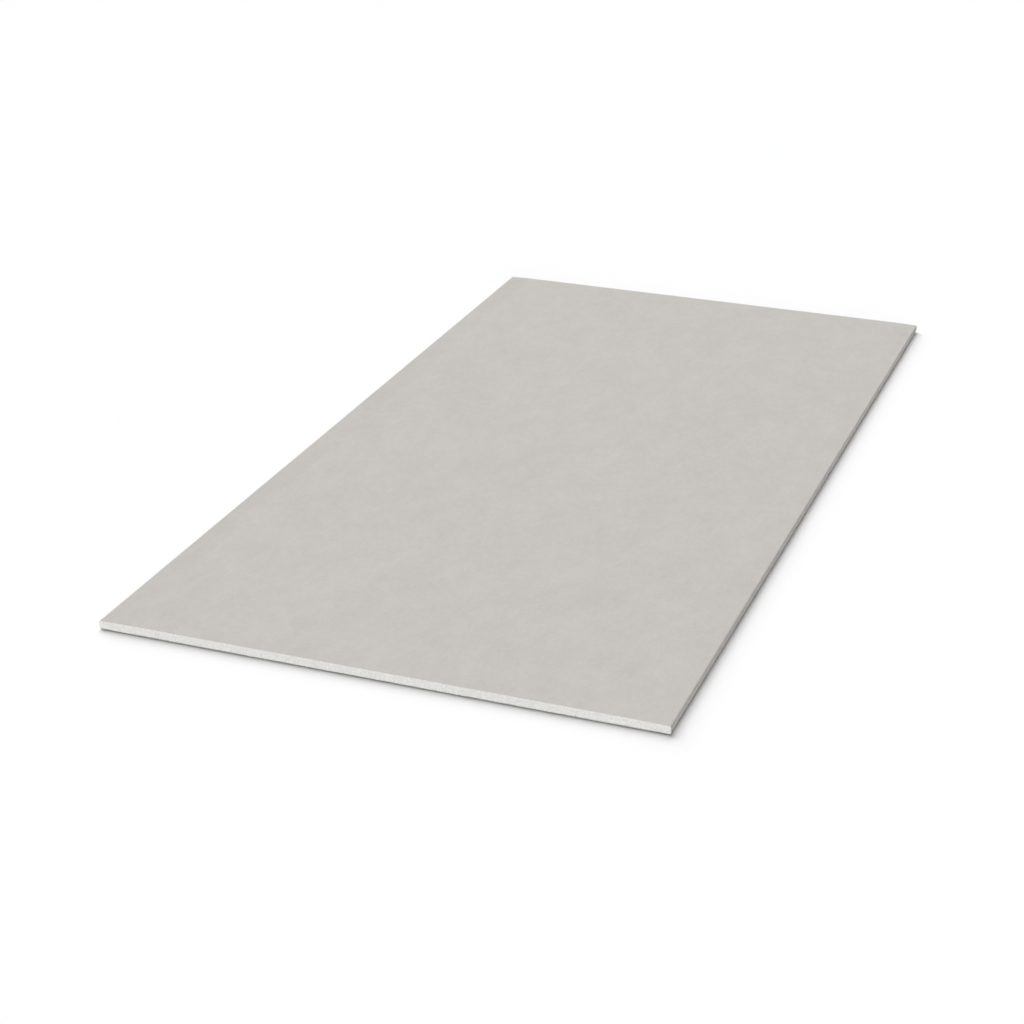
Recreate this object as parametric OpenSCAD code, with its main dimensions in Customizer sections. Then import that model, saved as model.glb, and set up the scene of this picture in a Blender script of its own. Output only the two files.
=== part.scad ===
// Drywall sheet: a gypsum core between two papers, lying on its back.
// X runs across the width, Y along the length, Z up through the thickness.
// The origin is the middle of the underside.

/* [Board] */
// Width across the two paper-wrapped long edges
board_w = 1219.2; // [600:0.1:1500]
// Length between the two cut ends
board_l = 2438.4; // [1200:0.1:4200]
// Thickness at the middle, both papers included
board_t = 19.05; // [12:0.05:26]

/* [Long edges] */
// Width of the recess for joint tape, from each long edge inwards
taper_w = 60; // [40:1:80]
// How far the face has dropped where the recess meets the long edge
taper_drop = 1.2; // [0.5:0.1:2.3]
// Radius where the face turns down into the long edge
top_corner_r = 3; // [1:0.5:4]
// Radius where the long edge turns under the back
bottom_corner_r = 4; // [1:0.5:5]

/* [Paper] */
// Thickness of the face paper
face_paper_t = 0.4; // [0.2:0.05:0.6]
// Thickness of the back paper
back_paper_t = 0.4; // [0.2:0.05:0.6]
// Width of the strip of face paper that folds under each long edge
fold_under_w = 30; // [20:1:60]
// Strip of folded paper left bare between the edge's curve and the back paper
back_paper_margin = 2.5; // [1:0.5:10]

/* [Hidden] */
$fn = 64;
half_w = board_w / 2;
// The folded strips sit between the back paper and the core
fold_base_z = back_paper_t;
core_base_z = fold_base_z + face_paper_t;
edge_top_z = board_t - taper_drop;
top_corner = [half_w - top_corner_r, edge_top_z - top_corner_r];
bottom_corner = [half_w - bottom_corner_r, fold_base_z + bottom_corner_r];
bare_core_w = board_w - 2 * fold_under_w;
back_paper_w = board_w - 2 * (bottom_corner_r + back_paper_margin);
// How far a cutting shape runs past what it cuts
cut_over = 1;
WHITE_GYPSUM = [0.87, 0.87, 0.86];
IVORY_GREY = [0.785, 0.773, 0.753];
BROWN_GREY = [0.63, 0.60, 0.56];

function mirrored(points) = [for (i = [len(points) - 1:-1:0]) [-points[i].x, points[i].y]];

// Sweeps a cross-section in X and Z along the whole length of the sheet
module along_sheet() {
    rotate([90, 0, 0])
        linear_extrude(board_l, center = true)
            children();
}

// A rectangle centred on the sheet's middle, from z upwards
module centred_band(width, z, height) {
    translate([-width / 2, z])
        square([width, height]);
}

// Cross-section of the sheet inside its wrap: inset 0 is the face paper's outer
// surface, and an inset of the paper's thickness is the core's own surface
module board_section(inset) {
    right = [
        [bottom_corner.x, fold_base_z + inset],
        [half_w - inset, bottom_corner.y],
        [half_w - inset, top_corner.y],
        [top_corner.x, edge_top_z - inset],
        [half_w - taper_w, board_t - inset]
    ];
    polygon(concat(right, mirrored(right)));
    for (side = [-1, 1]) {
        translate([side * bottom_corner.x, bottom_corner.y])
            circle(bottom_corner_r - inset);
        translate([side * top_corner.x, top_corner.y])
            circle(top_corner_r - inset);
    }
}

// Cast gypsum: it fills the wrap, and reaches the back paper between the folds
module gypsum_core() {
    color(WHITE_GYPSUM)
        along_sheet() {
            board_section(face_paper_t);
            centred_band(bare_core_w, fold_base_z, face_paper_t + cut_over);
        }
}

// One sheet of paper: over the face, round both long edges and under the back
module face_paper() {
    color(IVORY_GREY)
        along_sheet()
            difference() {
                board_section(0);
                board_section(face_paper_t);
                centred_band(bare_core_w, fold_base_z - cut_over, face_paper_t + 2 * cut_over);
            }
}

// Flat sheet of paper glued over the core and both folded strips
module back_paper() {
    color(BROWN_GREY)
        along_sheet()
            centred_band(back_paper_w, 0, back_paper_t);
}

gypsum_core();
face_paper();
back_paper();
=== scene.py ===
"""Looks of a drywall sheet: paper over its face, paper on its back, chalky gypsum at its cut ends.

The sheet lies on its back. X runs across its width, Y along its length and Z up through its
thickness, with the origin in the middle of the underside. Every size is in metres.
"""

import logging
import math
from collections.abc import Callable, Iterator
from contextlib import contextmanager
from dataclasses import dataclass
from enum import Enum

import bmesh
import bpy
from mathutils import Matrix, Vector


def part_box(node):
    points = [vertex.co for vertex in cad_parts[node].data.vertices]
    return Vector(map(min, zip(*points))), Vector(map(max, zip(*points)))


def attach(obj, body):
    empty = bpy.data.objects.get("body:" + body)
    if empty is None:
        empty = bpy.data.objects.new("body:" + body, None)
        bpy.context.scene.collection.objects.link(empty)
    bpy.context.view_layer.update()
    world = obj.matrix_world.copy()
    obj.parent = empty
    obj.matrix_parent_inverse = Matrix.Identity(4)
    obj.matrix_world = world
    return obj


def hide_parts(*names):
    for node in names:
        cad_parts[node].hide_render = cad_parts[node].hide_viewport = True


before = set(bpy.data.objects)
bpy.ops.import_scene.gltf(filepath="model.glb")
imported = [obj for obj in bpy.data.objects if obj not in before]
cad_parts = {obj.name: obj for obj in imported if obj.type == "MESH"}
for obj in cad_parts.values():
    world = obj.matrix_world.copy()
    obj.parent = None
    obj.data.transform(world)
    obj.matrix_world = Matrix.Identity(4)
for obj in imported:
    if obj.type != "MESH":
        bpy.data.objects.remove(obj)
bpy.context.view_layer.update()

LOG = logging.getLogger("drywall_sheet")
MM = 0.001
# How near a vertex has to be to a line or plane to be taken as on it
NEAR = 0.05 * MM
# How near a flat cut may pass to a vertex before it goes through that vertex
CUT_NEAR = 0.0001 * MM
# Opaque black and white, for sockets and ramps
BLACK = (0.0, 0.0, 0.0, 1.0)
WHITE = (1.0, 1.0, 1.0, 1.0)

RGB = tuple[float, float, float]
# The two ends of a range
Span = tuple[float, float]
# A place or a direction in the cross-section, in X and Z
Point = tuple[float, float]
# Says whether a place is wanted
Place = Callable[[Vector], bool]


class CutEnd(Enum):
    """The two ends where the sheet was cut to length, by the side of the sheet they close."""

    FRONT = -1
    REAR = 1


class LongEdge(Enum):
    """The two long edges that the face paper wraps, by the side of the sheet they are on."""

    LEFT = -1
    RIGHT = 1


# ---------------------------------------------------------------------------------------
# Modelling and node helpers
# ---------------------------------------------------------------------------------------


class Workbench:
    """Blender's modelling operators, with what they act on picked by its place."""

    @staticmethod
    def clear() -> None:
        """Deselects every object."""
        bpy.ops.object.select_all(action="DESELECT")

    @staticmethod
    def take(piece: bpy.types.Object) -> None:
        """Makes a piece the active object and the only selected one.

        Args:
            piece: The object to work on.
        """
        Workbench.clear()
        piece.select_set(True)
        bpy.context.view_layer.objects.active = piece

    @staticmethod
    def grid(
        name: str,
        cells: tuple[int, int],
        size: tuple[float, float],
        turn_x: float,
        at: Vector,
    ) -> bpy.types.Object:
        """Adds a flat grid at its size and place, with its transform applied.

        Args:
            name: The new object's name.
            cells: How many cells it has across and along.
            size: Its width and length.
            turn_x: How far it is turned about X, in radians.
            at: Its centre.

        Returns:
            The grid's object, at the origin, unturned and unscaled.
        """
        Workbench.clear()
        bpy.ops.mesh.primitive_grid_add(
            x_subdivisions=cells[0],
            y_subdivisions=cells[1],
            size=1.0,
            location=at,
            rotation=(turn_x, 0.0, 0.0),
        )
        made = bpy.context.active_object
        made.name = name
        made.data.name = name
        made.scale = (size[0], size[1], 1.0)
        bpy.ops.object.transform_apply(location=True, rotation=True, scale=True)
        return made

    @staticmethod
    @contextmanager
    def editing(piece: bpy.types.Object) -> Iterator[None]:
        """Puts a piece in edit mode for the length of a with block.

        Args:
            piece: The object to edit.

        Yields:
            Nothing.
        """
        Workbench.take(piece)
        bpy.ops.object.mode_set(mode="EDIT")
        try:
            yield
        finally:
            bpy.ops.object.mode_set(mode="OBJECT")

    @staticmethod
    def pick(piece: bpy.types.Object, chosen: Place) -> None:
        """Selects the vertices of a piece in edit mode by their place, and nothing else.

        Args:
            piece: The object in edit mode.
            chosen: Says whether a vertex at a point is wanted.
        """
        bpy.ops.mesh.select_all(action="DESELECT")
        mesh = bmesh.from_edit_mesh(piece.data)
        for vert in mesh.verts:
            if chosen(vert.co):
                vert.select_set(True)
        mesh.select_flush(True)
        bmesh.update_edit_mesh(piece.data)

    @staticmethod
    def cut_across(y: float) -> None:
        """Cuts the whole mesh in edit mode with a plane across the sheet at a place along it."""
        bpy.ops.mesh.select_all(action="SELECT")
        bpy.ops.mesh.bisect(plane_co=(0.0, y, 0.0), plane_no=(0.0, 1.0, 0.0))

    @staticmethod
    def cut_rows(half_length: float, insets: tuple[float, ...]) -> None:
        """Cuts the whole mesh in edit mode across the sheet, at set distances from both ends.

        Args:
            half_length: Half of the sheet's length.
            insets: The distances from each end.
        """
        for inset in insets:
            for end in CutEnd:
                Workbench.cut_across(end.value * (half_length - inset))

    @staticmethod
    def trim(at: Point, outwards: Point) -> None:
        """Trims the mesh in edit mode along the sheet's length with one flat cut, and closes it.

        Args:
            at: A point of the cut, in X and Z.
            outwards: The direction of the side that falls away, in X and Z.
        """
        bpy.ops.mesh.select_all(action="SELECT")
        bpy.ops.mesh.bisect(
            plane_co=(at[0], 0.0, at[1]),
            plane_no=(outwards[0], 0.0, outwards[1]),
            use_fill=True,
            clear_outer=True,
            threshold=CUT_NEAR,
        )

    @staticmethod
    def group(piece: bpy.types.Object, name: str, weight: Callable[[Vector], float]) -> str:
        """Makes a vertex group whose weights follow from each vertex's place.

        Args:
            piece: The object that gets the group.
            name: The group's name.
            weight: Gives the weight at a point, from 0 to 1.

        Returns:
            The group's name.
        """
        made = piece.vertex_groups.new(name=name)
        for vert in piece.data.vertices:
            share = weight(vert.co)
            if share > 0.0:
                made.add([vert.index], share, "REPLACE")
        return name

    @staticmethod
    def solidify(piece: bpy.types.Object, thickness: float) -> None:
        """Gives a surface its thickness, on the side that it doesn't face.

        Args:
            piece: The surface.
            thickness: How thick it becomes.
        """
        wall = piece.modifiers.new("thickness", "SOLIDIFY")
        wall.thickness = thickness
        wall.offset = -1.0
        wall.use_even_offset = True
        Workbench.apply(piece, wall)

    @staticmethod
    def wear_back(piece: bpy.types.Object, group: str, end: CutEnd, wear: "Wear") -> None:
        """Wears a cut end back along the sheet.

        Args:
            piece: The object with the end.
            group: The vertex group that may move.
            end: The end that it is on.
            wear: How deep it is worn, and in what pattern.
        """
        push = piece.modifiers.new("wear", "DISPLACE")
        if wear.blotch:
            push.texture = wear.texture(f"{piece.name}_{end.name.lower()}")
            push.texture_coords = "LOCAL"
        push.direction = "Y"
        push.mid_level = 0.0
        push.strength = -end.value * wear.depth
        push.vertex_group = group
        Workbench.apply(piece, push)

    @staticmethod
    def apply(piece: bpy.types.Object, modifier: bpy.types.Modifier) -> None:
        """Applies one modifier of a piece.

        Args:
            piece: The object that has it.
            modifier: The modifier.
        """
        Workbench.take(piece)
        bpy.ops.object.modifier_apply(modifier=modifier.name)

    @staticmethod
    def smooth(piece: bpy.types.Object, degrees: float) -> None:
        """Shades a piece smooth, apart from edges sharper than an angle.

        Args:
            piece: The object to shade.
            degrees: The angle.
        """
        Workbench.take(piece)
        bpy.ops.object.shade_smooth_by_angle(angle=math.radians(degrees))


@dataclass(frozen=True)
class Wear:
    """One way in which a cut end is worn back: how deep, and in blotches or, without them, evenly.

    The blotches are where a noise is high: below the span nothing is worn, and above it the end
    is worn to the whole depth.
    """

    name: str
    depth: float
    blotch: float = 0.0
    span: Span = (0.0, 1.0)
    layers: int = 2

    def texture(self, owner: str) -> bpy.types.Texture:
        """Makes the pattern of blotches.

        Args:
            owner: What is worn, for the texture's name.

        Returns:
            A clouds texture that runs from 0, kept, to 1, worn.
        """
        made = bpy.data.textures.new(f"{owner}_{self.name}", "CLOUDS")
        made.noise_scale = self.blotch
        made.noise_depth = self.layers
        made.use_color_ramp = True
        kept, worn = made.color_ramp.elements
        kept.position, worn.position = self.span
        kept.color, worn.color = BLACK, WHITE
        return made


class NodeDesk:
    """A material's node tree while it is being filled."""

    # The Mix node's colour sockets: both inputs and the output
    MIX_FIRST = 6
    MIX_SECOND = 7
    MIX_RESULT = 2

    def __init__(self, name: str) -> None:
        """Starts an empty material with one Principled shader.

        Args:
            name: The material's name.
        """
        self.material = bpy.data.materials.new(name)
        self.material.use_nodes = True
        self.tree = self.material.node_tree
        self.shader = self.tree.nodes["Principled BSDF"]
        self.coords = self.tree.nodes.new("ShaderNodeTexCoord").outputs["Object"]

    def link(self, source: bpy.types.NodeSocket, target: bpy.types.NodeSocket) -> None:
        """Joins an output to an input."""
        self.tree.links.new(source, target)

    def stretched(self, scale: RGB) -> bpy.types.NodeSocket:
        """Scales the object coordinates.

        Args:
            scale: How much, in X, Y and Z.

        Returns:
            The scaled coordinates.
        """
        mapping = self.tree.nodes.new("ShaderNodeMapping")
        mapping.inputs["Scale"].default_value = scale
        self.link(self.coords, mapping.inputs["Vector"])
        return mapping.outputs["Vector"]

    def noise(
        self,
        across: float,
        detail: float = 2.0,
        stretch: RGB = (1.0, 1.0, 1.0),
        roughness: float = 0.5,
    ) -> bpy.types.NodeSocket:
        """Adds noise with blotches of a given size.

        Args:
            across: How wide a blotch is, in metres.
            detail: How many finer layers it holds.
            stretch: How much denser it is along X, Y and Z.
            roughness: How strong each finer layer is, next to the one before it.

        Returns:
            The noise, from 0 to 1 and mostly near 0.5.
        """
        node = self.tree.nodes.new("ShaderNodeTexNoise")
        node.inputs["Scale"].default_value = 1.0 / across
        node.inputs["Detail"].default_value = detail
        node.inputs["Roughness"].default_value = roughness
        self.link(self.stretched(stretch), node.inputs["Vector"])
        return node.outputs["Fac"]

    def ramp(
        self,
        value: bpy.types.NodeSocket,
        span: Span,
        to: Span = (0.0, 1.0),
    ) -> bpy.types.NodeSocket:
        """Maps a span of a value onto another span, and clamps it there.

        Args:
            value: The value.
            span: The span that is mapped.
            to: What its two ends become.

        Returns:
            The mapped value.
        """
        node = self.tree.nodes.new("ShaderNodeMapRange")
        node.inputs["From Min"].default_value = span[0]
        node.inputs["From Max"].default_value = span[1]
        node.inputs["To Min"].default_value = to[0]
        node.inputs["To Max"].default_value = to[1]
        self.link(value, node.inputs["Value"])
        return node.outputs["Result"]

    def sum(self, *values: bpy.types.NodeSocket) -> bpy.types.NodeSocket:
        """Adds values up.

        Args:
            values: Two or more values.

        Returns:
            Their sum.
        """
        total = values[0]
        for value in values[1:]:
            node = self.tree.nodes.new("ShaderNodeMath")
            node.operation = "ADD"
            self.link(total, node.inputs[0])
            self.link(value, node.inputs[1])
            total = node.outputs[0]
        return total

    def blend(
        self,
        share: bpy.types.NodeSocket,
        first: RGB | bpy.types.NodeSocket,
        second: RGB | bpy.types.NodeSocket,
    ) -> bpy.types.NodeSocket:
        """Mixes two colours.

        Args:
            share: How much of the second colour there is, from 0 to 1.
            first: The first colour, or an output that holds one.
            second: The second colour, or an output that holds one.

        Returns:
            The mixed colour.
        """
        node = self.tree.nodes.new("ShaderNodeMix")
        node.data_type = "RGBA"
        self.link(share, node.inputs["Factor"])
        for number, colour in ((self.MIX_FIRST, first), (self.MIX_SECOND, second)):
            if isinstance(colour, tuple):
                node.inputs[number].default_value = (*colour, 1.0)
            else:
                self.link(colour, node.inputs[number])
        return node.outputs[self.MIX_RESULT]

    def shade(
        self,
        colour: bpy.types.NodeSocket,
        level: bpy.types.NodeSocket,
    ) -> bpy.types.NodeSocket:
        """Makes a colour lighter or darker.

        Args:
            colour: The colour.
            level: What it is multiplied by, near 1.

        Returns:
            The shaded colour.
        """
        node = self.tree.nodes.new("ShaderNodeVectorMath")
        node.operation = "SCALE"
        self.link(colour, node.inputs[0])
        self.link(level, node.inputs["Scale"])
        return node.outputs[0]

    def place(self, axis: str) -> bpy.types.NodeSocket:
        """Splits one coordinate off.

        Args:
            axis: X, Y or Z.

        Returns:
            How far along that axis a point is, in metres.
        """
        split = self.tree.nodes.new("ShaderNodeSeparateXYZ")
        self.link(self.coords, split.inputs[0])
        return split.outputs[axis]

    def cut_edge(self, half_length: float, width: float) -> bpy.types.NodeSocket:
        """Finds the strip of paper right at the two cut ends.

        Args:
            half_length: Half of the sheet's length.
            width: How wide the strip is.

        Returns:
            1 at the cut, falling to 0 across the strip.
        """
        node = self.tree.nodes.new("ShaderNodeMath")
        node.operation = "ABSOLUTE"
        self.link(self.place("Y"), node.inputs[0])
        return self.ramp(node.outputs[0], (half_length - width, half_length))

    def bump(self, height: bpy.types.NodeSocket, distance: float) -> None:
        """Gives the shader a surface that rises and falls.

        Args:
            height: The height, from 0 to 1.
            distance: How high 1 is, in metres.
        """
        node = self.tree.nodes.new("ShaderNodeBump")
        node.inputs["Distance"].default_value = distance
        self.link(height, node.inputs["Height"])
        self.link(node.outputs["Normal"], self.shader.inputs["Normal"])

    def finish(
        self,
        colour: bpy.types.NodeSocket,
        roughness: bpy.types.NodeSocket,
        specular: float,
    ) -> bpy.types.Material:
        """Joins up the shader.

        Args:
            colour: The base colour.
            roughness: The roughness.
            specular: The shader's specular level.

        Returns:
            The finished material.
        """
        self.link(colour, self.shader.inputs["Base Color"])
        self.link(roughness, self.shader.inputs["Roughness"])
        self.shader.inputs["Specular IOR Level"].default_value = specular
        return self.material


# ---------------------------------------------------------------------------------------
# Finishes
# ---------------------------------------------------------------------------------------


@dataclass(frozen=True)
class PaperFinish:
    """Matt board paper: a drift between two tints, faint mottling, fibres along it and flecks.

    It has another tone where it is torn at the cuts. Painted shade darkens it towards the foot of
    the long edges as a painted contact shadow, and painted shade can darken the left recess.
    A field named span gives the noise, or the height, over which something fades in or out.
    """

    name: str
    tint: RGB
    other_tint: RGB
    torn: RGB
    fleck: RGB
    fleck_share: float
    mottling: float
    fibre_contrast: float
    # Painted contact shadow: how much darker the paper is painted at the foot of the long edges
    painted_foot_shade: float = 0.0
    # Painted shade over the left recess: the level its colour is multiplied by
    painted_recess_shade: float = 1.0
    drift_across: float = 550 * MM
    drift_span: Span = (0.35, 0.65)
    mottle_across: float = 65 * MM
    mottle_stretch: RGB = (1.0, 0.6, 1.0)
    mottle_layers: float = 5.0
    mottle_evenness: float = 1.0
    fibre_across: float = 2.2 * MM
    fibre_stretch: RGB = (1.0, 0.3, 1.0)
    fibre_layers: float = 5.0
    tone_span: Span = (0.2, 0.8)
    fleck_across: float = 1.6 * MM
    fleck_stretch: RGB = (1.0, 0.55, 1.0)
    fleck_span: Span = (0.74, 0.8)
    torn_width: float = 0.8 * MM
    recess_blur: float = 4 * MM
    # Heights over which the painted contact shadow at the foot fades out
    foot_shade_span: Span = (1 * MM, 4.5 * MM)
    tooth: float = 0.06 * MM
    rough_span: Span = (0.3, 0.7)
    roughness: Span = (0.78, 0.9)
    specular: float = 0.1

    def material(self, section: "BoardSection") -> bpy.types.Material:
        """Makes the paper's material.

        Args:
            section: The sheet's section, which says where the cuts and the recesses are.

        Returns:
            The material.
        """
        desk = NodeDesk(self.name)
        drift = desk.ramp(desk.noise(self.drift_across), self.drift_span)
        ground = desk.blend(drift, self.tint, self.other_tint)
        mottle = desk.noise(
            self.mottle_across, self.mottle_layers, self.mottle_stretch, self.mottle_evenness
        )
        fibres = desk.noise(self.fibre_across, self.fibre_layers, self.fibre_stretch)
        level = desk.sum(
            desk.ramp(mottle, self.tone_span, (1.0 - self.mottling, 1.0 + self.mottling)),
            desk.ramp(fibres, self.tone_span, (-self.fibre_contrast, self.fibre_contrast)),
        )
        spots = desk.noise(self.fleck_across, detail=0.0, stretch=self.fleck_stretch)
        flecks = desk.ramp(spots, self.fleck_span, (0.0, self.fleck_share))
        colour = desk.blend(flecks, desk.shade(ground, level), self.fleck)
        cut = desk.cut_edge(section.half_length, self.torn_width)
        colour = self.add_painted_shade(desk, desk.blend(cut, colour, self.torn), section)
        desk.bump(fibres, self.tooth)
        return desk.finish(
            colour, desk.ramp(fibres, self.rough_span, self.roughness), self.specular
        )

    def add_painted_shade(
        self,
        desk: NodeDesk,
        colour: bpy.types.NodeSocket,
        section: "BoardSection",
    ) -> bpy.types.NodeSocket:
        """Paints shade over the left recess, and a painted contact shadow towards the foot of the
        long edges.

        Args:
            desk: The material's node tree.
            colour: The paper's colour so far.
            section: The sheet's section.

        Returns:
            The colour, with painted shade where this paper has either.
        """
        # Painted shade: the left recess is darkened as if shade fell on it
        if self.painted_recess_shade != 1.0:
            fold = (-section.fold_x - self.recess_blur, -section.fold_x + self.recess_blur)
            recess = desk.ramp(desk.place("X"), fold, (self.painted_recess_shade, 1.0))
            colour = desk.shade(colour, recess)
        # Painted shade: darker towards the foot of the long edges, standing in for the contact
        # shadow
        if self.painted_foot_shade:
            foot = desk.ramp(desk.place("Z"), self.foot_shade_span, (1.0 - self.painted_foot_shade, 1.0))
            colour = desk.shade(colour, foot)
        return colour


@dataclass(frozen=True)
class GypsumFinish:
    """Cut gypsum: chalk white, with painted shade in its pores, painted glints on its crystals and
    a dusty uneven tone.

    It is painted a little paler towards the back, which it is cast on, as painted light that evens
    out the shade near the floor. A field named span gives the noise, or the height, over which
    something fades in or out.
    """

    name: str = "cast_gypsum"
    chalk: RGB = (0.756, 0.751, 0.734)
    damp: RGB = (0.712, 0.706, 0.689)
    # Painted shade in the pores
    pore_shade: RGB = (0.50, 0.49, 0.47)
    # Painted glints on the crystals
    painted_glint: RGB = (0.85, 0.85, 0.84)
    cloud_across: float = 20 * MM
    cloud_layers: float = 4.0
    cloud_span: Span = (0.35, 0.75)
    dust_across: float = 4.5 * MM
    dust_layers: float = 3.0
    dust_evenness: float = 0.8
    dust_span: Span = (0.25, 0.75)
    dust_contrast: float = 0.15
    # Painted light: how much paler the gypsum is painted at its foot, to even out the shade near
    # the floor
    painted_foot_light: float = 0.09
    foot_light_span: Span = (1 * MM, 12 * MM)
    pore_across: float = 2.2 * MM
    pore_layers: float = 1.0
    # Painted pore shade: the noise span, and how strongly it shows
    pore_span: Span = (0.66, 0.74)
    pore_shade_share: float = 0.8
    crystal_across: float = 1.5 * MM
    crystal_layers: float = 3.0
    # Painted glints: the noise span, and how strongly they show
    glint_span: Span = (0.6, 0.72)
    glint_share: float = 0.7
    relief: float = 0.25 * MM
    rough_span: Span = (0.3, 0.7)
    roughness: Span = (0.88, 0.97)
    specular: float = 0.2

    def material(self) -> bpy.types.Material:
        """Makes the gypsum's material.

        Returns:
            The material.
        """
        desk = NodeDesk(self.name)
        clouds = desk.ramp(desk.noise(self.cloud_across, self.cloud_layers), self.cloud_span)
        colour = desk.blend(clouds, self.chalk, self.damp)
        dust = desk.noise(self.dust_across, self.dust_layers, roughness=self.dust_evenness)
        tone = (1.0 - self.dust_contrast, 1.0 + self.dust_contrast)
        colour = desk.shade(colour, desk.ramp(dust, self.dust_span, tone))
        # Painted light: paler towards the foot, evening out the shade near the floor
        lift = desk.ramp(desk.place("Z"), self.foot_light_span, (1.0 + self.painted_foot_light, 1.0))
        colour = desk.shade(colour, lift)
        # Painted shade: darker specks where pores would be shaded
        holes = desk.noise(self.pore_across, self.pore_layers)
        painted_pore_shade = desk.ramp(holes, self.pore_span, (0.0, self.pore_shade_share))
        colour = desk.blend(painted_pore_shade, colour, self.pore_shade)
        # The grit gives the crystals' bumps and roughness, and the places of their painted glints
        grit = desk.noise(self.crystal_across, self.crystal_layers)
        painted_glints = desk.ramp(grit, self.glint_span, (0.0, self.glint_share))
        colour = desk.blend(painted_glints, colour, self.painted_glint)
        desk.bump(grit, self.relief)
        return desk.finish(
            colour, desk.ramp(grit, self.rough_span, self.roughness), self.specular
        )


@dataclass(frozen=True)
class FloorFinish:
    """A plain white studio floor with a barely uneven coat."""

    name: str = "studio_white"
    white: RGB = (0.933, 0.933, 0.933)
    off_white: RGB = (0.929, 0.929, 0.929)
    coat_across: float = 400 * MM
    roughness: Span = (0.9, 1.0)
    specular: float = 0.0

    def material(self) -> bpy.types.Material:
        """Makes the floor's material.

        Returns:
            The material.
        """
        desk = NodeDesk(self.name)
        coat = desk.noise(self.coat_across)
        colour = desk.blend(coat, self.white, self.off_white)
        return desk.finish(colour, desk.ramp(coat, (0.0, 1.0), self.roughness), self.specular)


FACE_PAPER = PaperFinish(
    name="ivory_grey_paper",
    tint=(0.5258, 0.5058, 0.479),
    other_tint=(0.5228, 0.5028, 0.4755),
    torn=(0.66, 0.635, 0.60),
    fleck=(0.44, 0.42, 0.39),
    fleck_share=0.25,
    mottling=0.086,
    fibre_contrast=0.03,
    # Painted contact shadow at the foot of the long edges, and painted shade over the left recess
    painted_foot_shade=0.62,
    painted_recess_shade=0.98,
)
BACK_PAPER = PaperFinish(
    name="brown_grey_paper",
    tint=(0.37, 0.33, 0.28),
    other_tint=(0.351, 0.314, 0.267),
    torn=(0.29, 0.28, 0.265),
    fleck=(0.16, 0.14, 0.12),
    fleck_share=0.7,
    mottling=0.05,
    fibre_contrast=0.08,
)


# ---------------------------------------------------------------------------------------
# The sheet's own pieces
# ---------------------------------------------------------------------------------------


@dataclass(frozen=True)
class BoardSection:
    """The sheet's cross-section, which all three pieces are made to."""

    half_width: float
    half_length: float
    top: float
    fold_base: float
    face_paper: float
    back_half_width: float
    taper_width: float = 60 * MM
    taper_drop: float = 1.2 * MM
    top_radius: float = 3 * MM
    bottom_radius: float = 4 * MM
    fold_under: float = 30 * MM
    fold_softness: float = 0.1
    top_steps: int = 6
    bottom_steps: int = 7

    @classmethod
    def from_frame(cls) -> "BoardSection":
        """Reads the overall sizes and the paper's thickness from the frame.

        Returns:
            The section.
        """
        face_low, face_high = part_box("face_paper")
        core_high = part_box("gypsum_core")[1]
        back_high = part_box("back_paper")[1]
        return cls(
            half_width=face_high[0],
            half_length=face_high[1],
            top=face_high[2],
            fold_base=face_low[2],
            face_paper=face_high[2] - core_high[2],
            back_half_width=back_high[0],
        )

    @property
    def fold_x(self) -> float:
        """Where the recess for joint tape begins."""
        return self.half_width - self.taper_width

    @property
    def edge_top(self) -> float:
        """The height of the face where the recess meets the long edge."""
        return self.top - self.taper_drop

    def face_drop(self, x: float) -> float:
        """Says how far the face has fallen below the middle's height, with a soft fold.

        Args:
            x: The distance from the sheet's middle line.

        Returns:
            The fall.
        """
        along = (x - self.fold_x) / self.taper_width
        if along <= -self.fold_softness:
            return 0.0
        if along < self.fold_softness:
            along = (along + self.fold_softness) ** 2 / (4.0 * self.fold_softness)
        return along * self.taper_drop

    def on_end(self, point: Vector, end: CutEnd) -> bool:
        """Says whether a point is on one of the two cut ends."""
        return abs(point.y - end.value * self.half_length) < NEAR

    def arc(
        self,
        radius: float,
        height: float,
        first: float,
        last: float,
        steps: int,
    ) -> list[Point]:
        """Gives the points of one rounded corner of the long edge, after its first.

        Args:
            radius: The corner's radius.
            height: Its centre's height.
            first: The angle that it starts at, in degrees up from level.
            last: The angle that it ends at.
            steps: How many points it gets.

        Returns:
            The points.
        """
        centre = self.half_width - radius
        turns = [math.radians(first + (last - first) * (k + 1) / steps) for k in range(steps)]
        return [(centre + radius * math.cos(a), height + radius * math.sin(a)) for a in turns]

    def wrap_path(self, step: float) -> list[Point]:
        """Follows the face paper's outer surface from the flat face round one long edge.

        Args:
            step: The spacing of the points across the recess.

        Returns:
            The points, from the last flat one to the folded strip's end.
        """
        start = self.fold_x - self.fold_softness * self.taper_width
        end = self.half_width - self.top_radius
        count = round((end - start) / step)
        recess = [start + (end - start) * k / count for k in range(count + 1)]
        upper = self.edge_top - self.top_radius
        lower = self.fold_base + self.bottom_radius
        return [
            *((x, self.top - self.face_drop(x)) for x in recess),
            *self.arc(self.top_radius, upper, 90.0, 0.0, self.top_steps),
            *self.arc(self.bottom_radius, lower, 0.0, -90.0, self.bottom_steps),
            (self.half_width - self.fold_under, self.fold_base),
        ]


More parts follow.
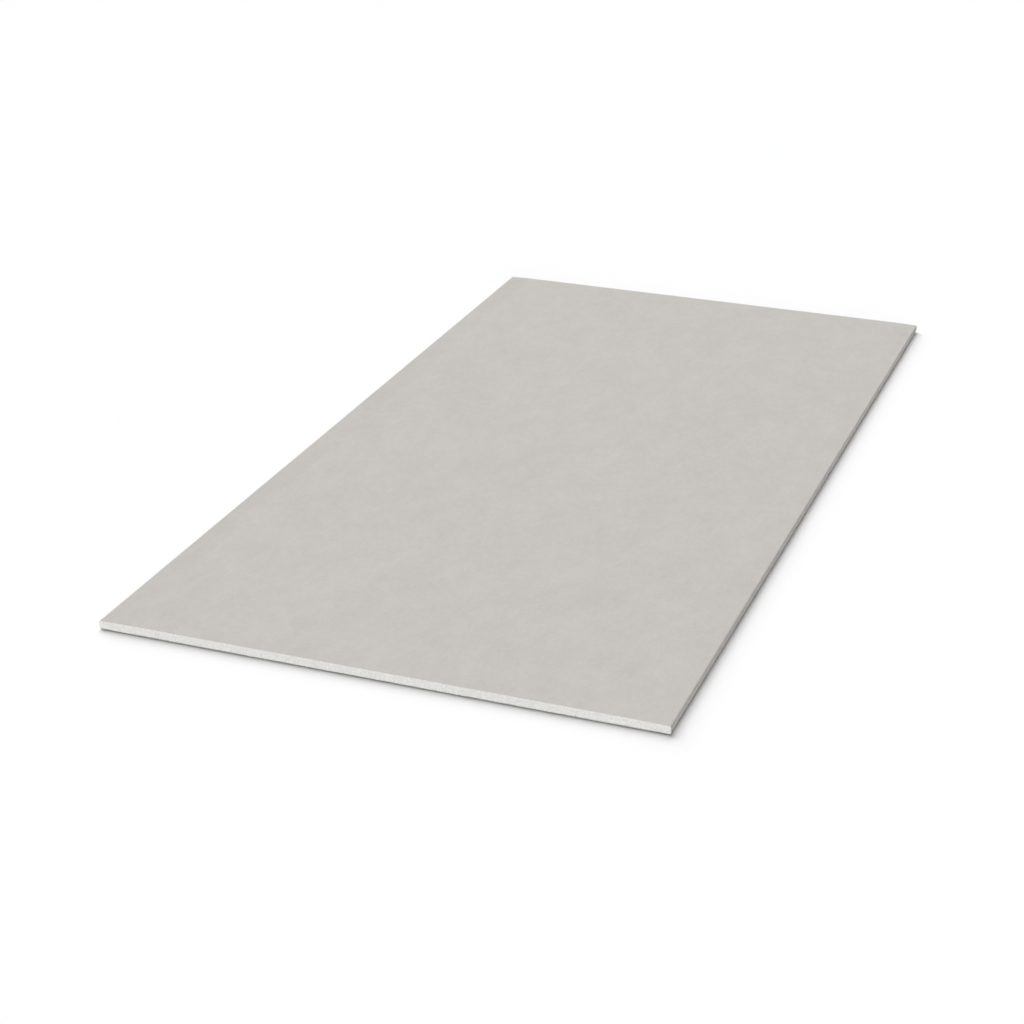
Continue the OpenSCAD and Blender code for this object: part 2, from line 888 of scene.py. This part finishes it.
@dataclass
class FacePaper:
    """The sheet of paper over the face, round both long edges and folded under the back.

    It is shaded smooth wherever it turns by less than its crease, in degrees.
    """

    section: BoardSection
    finish: PaperFinish = FACE_PAPER
    column: float = 2 * MM
    frayed: Wear = Wear("fray", 0.5 * MM, blotch=7 * MM, span=(0.35, 0.8))
    rows_from_end: tuple[float, ...] = (1.5 * MM, 5 * MM, 20 * MM, 200 * MM)
    crease: float = 35.0

    def build(self) -> bpy.types.Object:
        """Lays the face, wraps both long edges, gives the paper its thickness and frays its cuts.

        Returns:
            The finished piece.
        """
        path = self.section.wrap_path(self.column)
        flat = path[0][0]
        piece = Workbench.grid(
            "face_paper_wrap",
            (round(2 * flat / self.column), 1),
            (2 * flat, 2 * self.section.half_length),
            0.0,
            Vector((0.0, 0.0, self.section.top)),
        )
        for edge in LongEdge:
            self.wrap(piece, edge, path)
        with Workbench.editing(piece):
            Workbench.cut_rows(self.section.half_length, self.rows_from_end)
            Workbench.cut_across(0.0)
        Workbench.solidify(piece, self.section.face_paper)
        fray_ends(piece, self.section, self.frayed)
        Workbench.smooth(piece, self.crease)
        piece.data.materials.append(self.finish.material(self.section))
        return piece

    def wrap(self, piece: bpy.types.Object, edge: LongEdge, path: list[Point]) -> None:
        """Carries the paper round one long edge, one short extrusion at a time.

        Args:
            piece: The paper so far.
            edge: The long edge.
            path: The outer surface's points, from the last flat one outwards.
        """
        rim = edge.value * path[0][0]
        with Workbench.editing(piece):
            Workbench.pick(piece, lambda point: abs(point.x - rim) < NEAR)
            for before, after in zip(path, path[1:]):
                move = (edge.value * (after[0] - before[0]), 0.0, after[1] - before[1])
                bpy.ops.mesh.extrude_edges_move(TRANSFORM_OT_translate={"value": move})


@dataclass
class BackPaper:
    """The flat sheet of paper glued over the core and over both folded strips.

    It is shaded smooth wherever it turns by less than its crease, in degrees.
    """

    section: BoardSection
    finish: PaperFinish = BACK_PAPER
    column: float = 3 * MM
    frayed: Wear = Wear("fray", 0.7 * MM, blotch=7 * MM, span=(0.35, 0.8))
    rows_from_end: tuple[float, ...] = (1.5 * MM, 6 * MM, 30 * MM)
    crease: float = 35.0

    def build(self) -> bpy.types.Object:
        """Lays the sheet face down, gives it its thickness and frays its cuts.

        Returns:
            The finished piece.
        """
        width = 2 * self.section.back_half_width
        piece = Workbench.grid(
            "back_paper_sheet",
            (round(width / self.column), 1),
            (width, 2 * self.section.half_length),
            0.0,
            Vector((0.0, 0.0, self.section.fold_base)),
        )
        with Workbench.editing(piece):
            Workbench.cut_rows(self.section.half_length, self.rows_from_end)
        Workbench.solidify(piece, self.section.fold_base)
        fray_ends(piece, self.section, self.frayed)
        Workbench.smooth(piece, self.crease)
        piece.data.materials.append(self.finish.material(self.section))
        return piece


@dataclass
class GypsumCore:
    """The cast core. Its two cut ends are worn: uneven, pitted, and crumbled along the papers.

    It is shaded smooth wherever it turns by less than its crease, in degrees.
    """

    section: BoardSection
    finish: GypsumFinish = GypsumFinish()
    cell: float = 0.8 * MM
    uneven: Wear = Wear("uneven", 0.4 * MM, blotch=30 * MM, span=(0.3, 0.7))
    pitted: Wear = Wear("pits", 1.0 * MM, blotch=2.4 * MM, span=(0.6, 0.75))
    eased: Wear = Wear("eased", 0.1 * MM)
    crumbled: Wear = Wear("crumble", 0.55 * MM, blotch=5 * MM, span=(0.3, 0.65))
    chipped: Wear = Wear("chips", 0.6 * MM, blotch=4 * MM, span=(0.45, 0.75))
    arris_band: float = 1.6 * MM
    corner_cuts: int = 5
    crease: float = 50.0

    def build(self) -> bpy.types.Object:
        """Sweeps a finely celled end along the sheet, trims it to the section and wears its ends.

        Returns:
            The finished piece.
        """
        section = self.section
        low = section.fold_base + section.face_paper
        high = section.top - section.face_paper
        width = 2 * (section.half_width - section.face_paper)
        height = high - low
        piece = Workbench.grid(
            "gypsum_core_cast",
            (round(width / self.cell), round(height / self.cell)),
            (width, height),
            math.radians(90.0),
            Vector((0.0, -section.half_length, (low + high) / 2)),
        )
        with Workbench.editing(piece):
            bpy.ops.mesh.select_all(action="SELECT")
            sweep = (0.0, 2 * section.half_length, 0.0)
            bpy.ops.mesh.extrude_region_move(TRANSFORM_OT_translate={"value": sweep})
            bpy.ops.mesh.select_all(action="SELECT")
            bpy.ops.mesh.normals_make_consistent(inside=False)
            for edge in LongEdge:
                self.trim_long_edge(edge)
            self.fill_between_folds(piece, low)
        for end in CutEnd:
            self.wear_end(piece, end)
        Workbench.smooth(piece, self.crease)
        piece.data.materials.append(self.finish.material())
        return piece

    def trim_long_edge(self, edge: LongEdge) -> None:
        """Trims the recess and both rounded corners of one long edge.

        Args:
            edge: The long edge.
        """
        section = self.section
        paper = section.face_paper
        slope = (edge.value * section.taper_drop, section.taper_width)
        Workbench.trim((edge.value * section.fold_x, section.top - paper), slope)
        corners = (
            (section.top_radius, section.edge_top - section.top_radius, 1.0),
            (section.bottom_radius, section.fold_base + section.bottom_radius, -1.0),
        )
        for radius, height, up in corners:
            for k in range(self.corner_cuts):
                angle = math.radians(90.0 * (k + 0.5) / self.corner_cuts)
                out = (edge.value * math.cos(angle), up * math.sin(angle))
                reach = radius - paper
                centre = edge.value * (section.half_width - radius)
                Workbench.trim((centre + reach * out[0], height + reach * out[1]), out)

    def fill_between_folds(self, piece: bpy.types.Object, low: float) -> None:
        """Carries the core down to the back paper between the two folded strips.

        Args:
            piece: The core in edit mode.
            low: The height of its underside so far.
        """
        bare = self.section.half_width - self.section.fold_under
        for edge in LongEdge:
            bpy.ops.mesh.select_all(action="SELECT")
            bpy.ops.mesh.bisect(plane_co=(edge.value * bare, 0.0, 0.0), plane_no=(1.0, 0.0, 0.0))
        Workbench.pick(piece, lambda point: point.z < low + NEAR and abs(point.x) < bare + NEAR)
        down = (0.0, 0.0, -self.section.face_paper)
        bpy.ops.mesh.extrude_region_move(TRANSFORM_OT_translate={"value": down})

    def wear_end(self, piece: bpy.types.Object, end: CutEnd) -> None:
        """Wears one cut end back: broad unevenness, pits, then crumbling beside the papers.

        Args:
            piece: The core.
            end: The end.
        """
        section = self.section
        paper = section.face_paper

        def on_end(point: Vector) -> float:
            """Picks the end's own vertices."""
            return float(section.on_end(point, end))

        def lower_arris(point: Vector) -> float:
            """Picks the end's vertices above the back paper or a fold, fading upwards.

            Args:
                point: A vertex's place.

            Returns:
                Its weight, from 0 to 1.
            """
            bare = abs(point.x) < section.half_width - section.fold_under
            low = section.fold_base + (0.0 if bare else paper)
            return on_end(point) * max(0.0, 1.0 - (point.z - low) / self.arris_band)

        def upper_arris(point: Vector) -> float:
            """Picks the end's vertices below the face paper, fading downwards."""
            high = section.top - paper - section.face_drop(abs(point.x))
            return on_end(point) * max(0.0, 1.0 - (high - point.z) / self.arris_band)

        name = end.name.lower()
        face = Workbench.group(piece, f"{name}_end", on_end)
        lower = Workbench.group(piece, f"{name}_lower_arris", lower_arris)
        upper = Workbench.group(piece, f"{name}_upper_arris", upper_arris)
        places = (
            (face, self.uneven),
            (face, self.pitted),
            (lower, self.eased),
            (lower, self.crumbled),
            (upper, self.chipped),
        )
        for group, wear in places:
            Workbench.wear_back(piece, group, end, wear)


def fray_ends(piece: bpy.types.Object, section: BoardSection, fray: Wear) -> None:
    """Frays a paper's two cuts, so that they run slightly ragged across the sheet.

    Args:
        piece: The paper.
        section: The sheet's section.
        fray: How far the cuts run inwards, and in what pattern.
    """
    for end in CutEnd:
        group = Workbench.group(
            piece,
            f"{end.name.lower()}_cut",
            lambda point: float(section.on_end(point, end)),
        )
        Workbench.wear_back(piece, group, end, fray)


# ---------------------------------------------------------------------------------------
# The studio
# ---------------------------------------------------------------------------------------


@dataclass(frozen=True)
class SoftLight:
    """A wide far-off light, as even over the whole sheet as an overcast sky.

    Its place and its spread are in degrees.
    """

    name: str
    azimuth: float
    elevation: float
    spread: float
    strength: float

    def place(self) -> None:
        """Adds the light. Azimuth 0 is in front of the sheet, and 90 to its right."""
        Workbench.clear()
        bpy.ops.object.light_add(type="SUN")
        lamp = bpy.context.active_object
        lamp.name = self.name
        lamp.data.angle = math.radians(self.spread)
        lamp.data.energy = self.strength
        towards = facing(self.azimuth, self.elevation)
        lamp.rotation_euler = towards.to_track_quat("Z", "Y").to_euler()


def facing(azimuth: float, elevation: float) -> Vector:
    """Gives the direction from the sheet towards a place round it.

    Args:
        azimuth: 0 in front of the sheet, 90 to its right, in degrees.
        elevation: How far above the horizon, in degrees.

    Returns:
        A vector one unit long.
    """
    around = math.radians(azimuth)
    up = math.radians(elevation)
    level = math.cos(up)
    return Vector((math.sin(around) * level, -math.cos(around) * level, math.sin(up)))


@dataclass
class Studio:
    """A white floor, a white surround, soft lights and the camera.

    Angles are in degrees, and the lens and the sensor are in millimetres.
    """

    section: BoardSection
    surround: float = 0.06
    lights: tuple[SoftLight, ...] = (
        SoftLight("key_behind_left", azimuth=-140.0, elevation=43.5, spread=69.0, strength=3.88),
        SoftLight("low_front_fill", azimuth=22.0, elevation=13.4, spread=40.0, strength=2.16),
    )
    floor_width: float = 120.0
    floor_cells: int = 4
    floor_gap: float = 2 * MM
    azimuth: float = 20.13
    elevation: float = 24.08
    roll: float = 0.4
    distance: float = 4.995
    aim_x: float = -0.009
    aim_y: float = -0.406
    lens: float = 77.09
    sensor: float = 36.0
    sight: float = 200.0

    def build(self) -> None:
        """Sets up the whole studio."""
        self.lay_floor()
        self.light_room()
        self.place_camera()

    def lay_floor(self) -> None:
        """Lays the white floor close under the sheet, which like any board isn't quite flat."""
        floor = Workbench.grid(
            "studio_floor",
            (self.floor_cells, self.floor_cells),
            (self.floor_width, self.floor_width),
            0.0,
            Vector((0.0, 0.0, -self.floor_gap)),
        )
        floor.data.materials.append(FloorFinish().material())

    def light_room(self) -> None:
        """Lights the sheet from the soft lights and an even surround that looks white."""
        for light in self.lights:
            light.place()
        world = bpy.data.worlds.new("white_surround")
        world.use_nodes = True
        bpy.context.scene.world = world
        tree = world.node_tree
        lit = tree.nodes["Background"]
        lit.inputs["Color"].default_value = WHITE
        lit.inputs["Strength"].default_value = self.surround
        seen = tree.nodes.new("ShaderNodeBackground")
        seen.inputs["Color"].default_value = WHITE
        seen.inputs["Strength"].default_value = 1.0
        path = tree.nodes.new("ShaderNodeLightPath")
        mix = tree.nodes.new("ShaderNodeMixShader")
        tree.links.new(path.outputs["Is Camera Ray"], mix.inputs["Fac"])
        tree.links.new(lit.outputs[0], mix.inputs[1])
        tree.links.new(seen.outputs[0], mix.inputs[2])
        tree.links.new(mix.outputs[0], tree.nodes["World Output"].inputs["Surface"])
        bpy.context.scene.view_settings.view_transform = "Standard"

    def place_camera(self) -> None:
        """Places the camera above the front right corner, looking down along the sheet."""
        Workbench.clear()
        back = facing(self.azimuth, self.elevation)
        aim = Vector((self.aim_x, self.aim_y, self.section.top))
        bpy.ops.object.camera_add(location=aim + back * self.distance)
        camera = bpy.context.active_object
        camera.name = "camera"
        level = back.to_track_quat("Z", "Y").to_matrix()
        tilt = Matrix.Rotation(math.radians(self.roll), 3, "Z")
        camera.rotation_euler = (level @ tilt).to_euler()
        camera.data.sensor_width = self.sensor
        camera.data.lens = self.lens
        camera.data.clip_end = self.sight
        bpy.context.scene.camera = camera


def main() -> None:
    """Builds the sheet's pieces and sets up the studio."""
    logging.basicConfig(level=logging.INFO, format="%(name)s: %(message)s")
    section = BoardSection.from_frame()
    makers = (
        (GypsumCore(section), "gypsum_core", "gypsum"),
        (FacePaper(section), "face_paper", "face_paper"),
        (BackPaper(section), "back_paper", "back_paper"),
    )
    for maker, node, slot in makers:
        piece = maker.build()
        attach(piece, "root")
        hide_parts(node)
        LOG.info("%s: %d faces", piece.name, len(piece.data.polygons))
    Studio(section).build()


if __name__ == "__main__":
    main()
